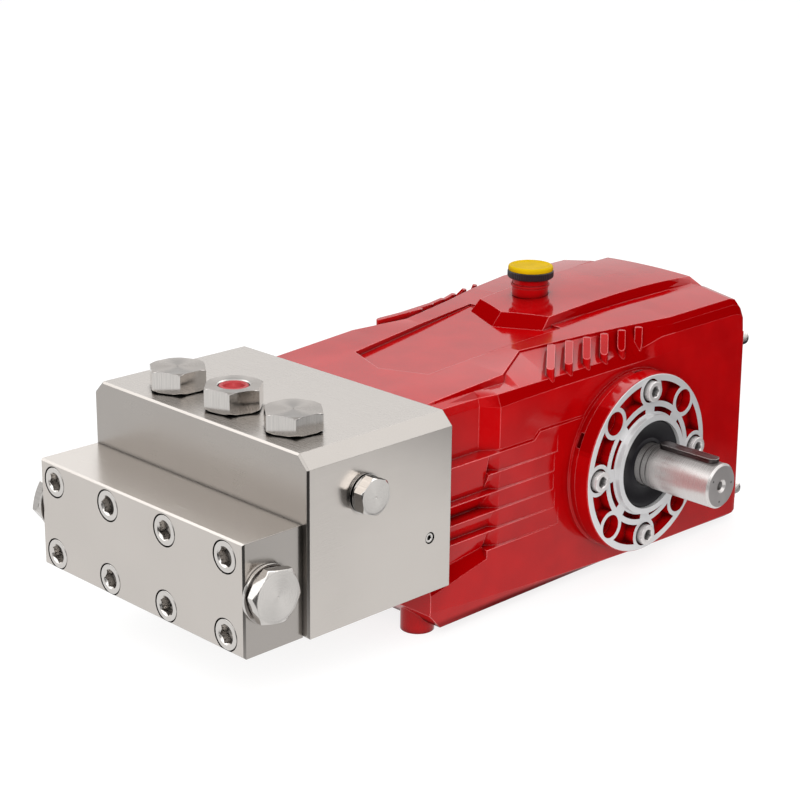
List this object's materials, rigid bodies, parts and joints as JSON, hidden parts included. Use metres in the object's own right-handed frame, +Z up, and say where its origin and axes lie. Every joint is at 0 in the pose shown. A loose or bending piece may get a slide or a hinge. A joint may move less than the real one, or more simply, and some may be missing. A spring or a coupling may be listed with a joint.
{
  "type": "high-pressure plunger pump",
  "caption": "Horizontal high-pressure plunger pump: a steel valve head bolted to a finned red crankcase, with a keyed drive shaft out of a ribbed bearing flange.",
  "frame": {"origin": "middle of the four foot holes, on the floor", "axes": "+X along the drive shaft towards its free end, +Y from the steel head towards the rear cover, +Z up"},
  "size_m": [0.3116, 0.5674, 0.2246],
  "materials": {
    "head_steel": "fine satin, ground and polished",
    "bolt_steel": "bright satin",
    "shaft_steel": "turned and ground",
    "case_paint": "glossy enamel on a casting",
    "flange_paint": "machined face, enamelled pockets and rim",
    "seal_rubber": "smooth",
    "cap_black": "gloss",
    "cap_yellow": "gloss",
    "cap_red": "satin"
  },
  "bodies": {
    "pump": {"pump_head": "head_steel", "front_block": "head_steel", "front_bolts": "bolt_steel", "top_plug_left": "bolt_steel", "top_plug_right": "bolt_steel", "outlet_adapter": "bolt_steel", "port_cap": "cap_red", "side_plug_right": "bolt_steel", "side_plug_left": "bolt_steel", "block_plug_right": "bolt_steel", "block_plug_left": "bolt_steel", "block_washer_right": "bolt_steel", "block_washer_left": "bolt_steel", "side_screws": "bolt_steel", "crankcase": "case_paint", "bearing_flange_right": "flange_paint", "bearing_flange_left": "flange_paint", "flange_bolts_right": "bolt_steel", "flange_bolts_left": "bolt_steel", "shaft_seal": "seal_rubber", "bearing_cap_left": "case_paint", "rear_cover": "case_paint", "rear_cover_bolts": "bolt_steel", "filler_neck": "case_paint", "filler_ring": "cap_black", "filler_cap": "cap_yellow"},
    "drive_shaft": {"drive_shaft": "shaft_steel", "shaft_key": "shaft_steel"}
  },
  "joints": [
    {"name": "shaft_spin", "type": "hinge", "parent": "pump", "child": "drive_shaft", "pos_m": [0.116, 0.0504, 0.0913], "axis": [1, 0, 0], "continuous": true}
  ]
}
